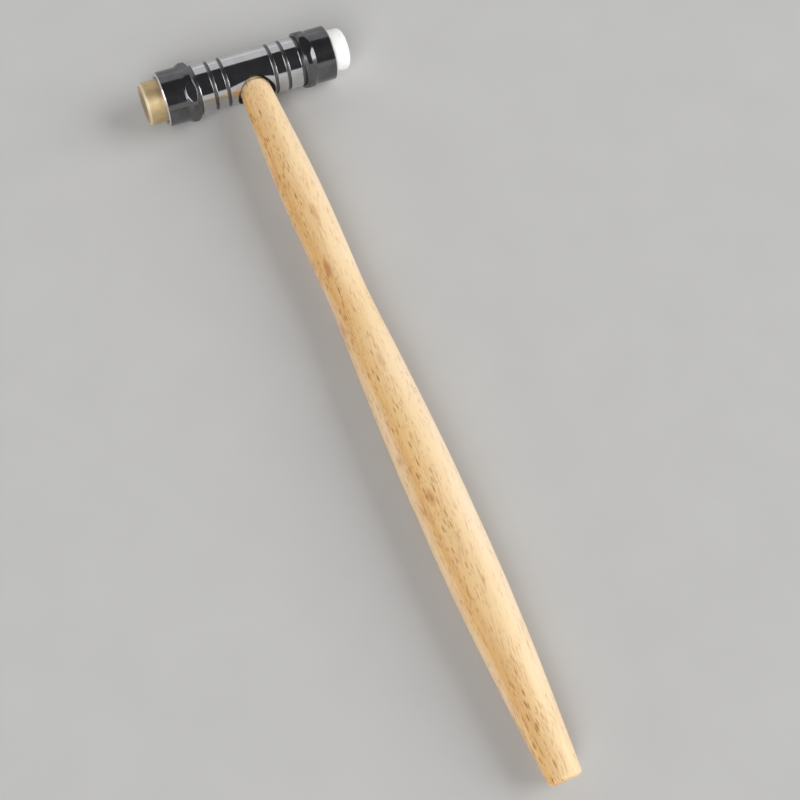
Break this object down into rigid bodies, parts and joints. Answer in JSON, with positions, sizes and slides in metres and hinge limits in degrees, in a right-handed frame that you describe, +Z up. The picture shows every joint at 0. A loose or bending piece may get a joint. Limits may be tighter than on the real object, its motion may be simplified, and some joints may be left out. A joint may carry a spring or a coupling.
{
  "type": "watchmaker's hammer",
  "caption": "Small hammer with a turned wooden handle and a round steel head whose brass and nylon striking faces are held by screwed union nuts.",
  "frame": {"origin": "on the bench the tool lies on, under the middle of its bounding box", "axes": "+Z up from the bench; +X along the head axis from the brass face to the nylon face; +Y along the handle from its butt to the head. The handle dips 0.5 degrees towards its belly, on which it rests."},
  "size_m": [0.0672, 0.2444, 0.0187],
  "materials": {
    "barrel_steel": "turned and polished steel",
    "collar_steel": "polished dark nickel",
    "brass": "satin turned brass",
    "nylon": "smooth white nylon",
    "beech": "fine-sanded beech with a thin clear finish",
    "wedge_wood": "sawn dark hardwood",
    "wedge_steel": "cold-rolled steel strip"
  },
  "bodies": {
    "head_and_handle": {"head_barrel": "barrel_steel", "handle": "beech", "wooden_wedge": "wedge_wood", "steel_wedge": "wedge_steel"},
    "brass_slug": {"brass_face": "brass"},
    "brass_nut": {"brass_collar": "collar_steel"},
    "nylon_slug": {"nylon_face": "nylon"},
    "nylon_nut": {"nylon_collar": "collar_steel"}
  },
  "joints": [
    {"name": "brass_travel", "type": "slide", "parent": "head_and_handle", "child": "brass_slug", "axis": [-1, 0, 0], "range_m": [0, 0.005]},
    {"name": "brass_nut_turn", "type": "hinge", "parent": "brass_slug", "child": "brass_nut", "pos_m": [-0.0233, 0.11284, 0.00935], "axis": [-1, 0, 0], "range_deg": [0, 1800]},
    {"name": "nylon_travel", "type": "slide", "parent": "head_and_handle", "child": "nylon_slug", "axis": [1, 0, 0], "range_m": [0, 0.005]},
    {"name": "nylon_nut_turn", "type": "hinge", "parent": "nylon_slug", "child": "nylon_nut", "pos_m": [0.0233, 0.11284, 0.00935], "axis": [1, 0, 0], "range_deg": [0, 1800]}
  ],
  "couplings": [
    {"joint": "brass_travel", "follows": "brass_nut_turn", "m_per_rad": 0.00015915},
    {"joint": "nylon_travel", "follows": "nylon_nut_turn", "m_per_rad": 0.00015915}
  ]
}
